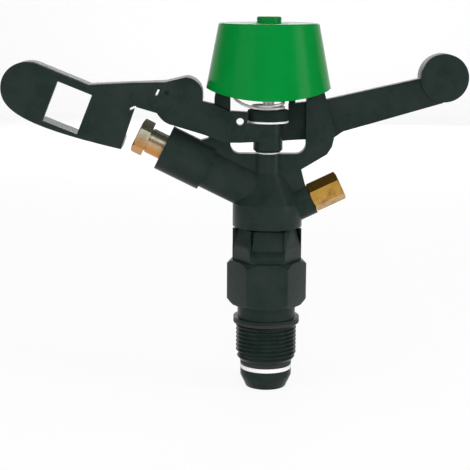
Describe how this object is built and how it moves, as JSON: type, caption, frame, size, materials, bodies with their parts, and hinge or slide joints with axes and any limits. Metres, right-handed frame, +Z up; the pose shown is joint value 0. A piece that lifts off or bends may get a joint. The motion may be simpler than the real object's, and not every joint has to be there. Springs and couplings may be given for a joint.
{
  "type": "sprinkler",
  "caption": "Impact sprinkler head on a male pipe thread: turning body with range and spreader nozzles, sprung hammer arm with paddle and counterweight, and a hood.",
  "frame": {"origin": "on the spindle axis, in the plane of the gasket's underside, where the male thread begins", "axes": "+Z up along the spindle, +X towards the counterweight, -X towards the range nozzle and the paddle, -Y towards the viewer"},
  "size_m": [0.1976, 0.0544, 0.1608],
  "materials": {
    "black_plastic": "satin moulded plastic",
    "green_hood": "glossy moulded plastic",
    "brass": "machined brass",
    "spring_steel": "drawn stainless wire and ground pin",
    "white_washer": "smooth low-friction plastic",
    "white_plastic": "smooth moulded plastic",
    "rubber": "matt rubber",
    "weight_metal": "plain cast metal"
  },
  "bodies": {
    "inlet": {"inlet_nipple": "black_plastic", "inlet_gasket": "rubber", "sand_guard": "black_plastic", "bearing_spring": "spring_steel"},
    "thrust": {"seal_washer": "rubber", "friction_washer": "white_washer"},
    "rotor": {"sprinkler_body": "black_plastic", "spindle_tube": "black_plastic", "range_nozzle": "brass", "range_nozzle_seal": "rubber", "stream_straightener": "white_plastic", "spreader_nozzle": "brass", "spreader_nozzle_seal": "rubber", "fulcrum_pin": "spring_steel", "pin_retaining_ring": "spring_steel", "lower_thrust_washer": "white_washer", "arm_spring": "spring_steel", "spring_anchor": "black_plastic", "hood": "green_hood"},
    "arm": {"hammer_arm": "black_plastic", "lower_arm_bush": "white_plastic", "upper_arm_bush": "white_plastic", "upper_thrust_washer": "white_washer", "spring_seat": "black_plastic", "counterweight_slug": "weight_metal", "counterweight_cover": "black_plastic"}
  },
  "joints": [
    {"name": "head_press", "type": "slide", "parent": "inlet", "child": "thrust", "axis": [0, 0, 1], "range_m": [-0.001, 0], "stiffness_N_per_m": 1500, "springref_m": 0.006, "deforming": ["bearing_spring"]},
    {"name": "head_turn", "type": "hinge", "parent": "thrust", "child": "rotor", "pos_m": [0, 0, 0], "axis": [0, 0, 1], "continuous": true},
    {"name": "arm_swing", "type": "hinge", "parent": "rotor", "child": "arm", "pos_m": [0, 0, 0.081], "axis": [0, 0, 1], "range_deg": [0, 110], "stiffness_Nm_per_rad": 0.03, "springref_deg": -22.92}
  ]
}
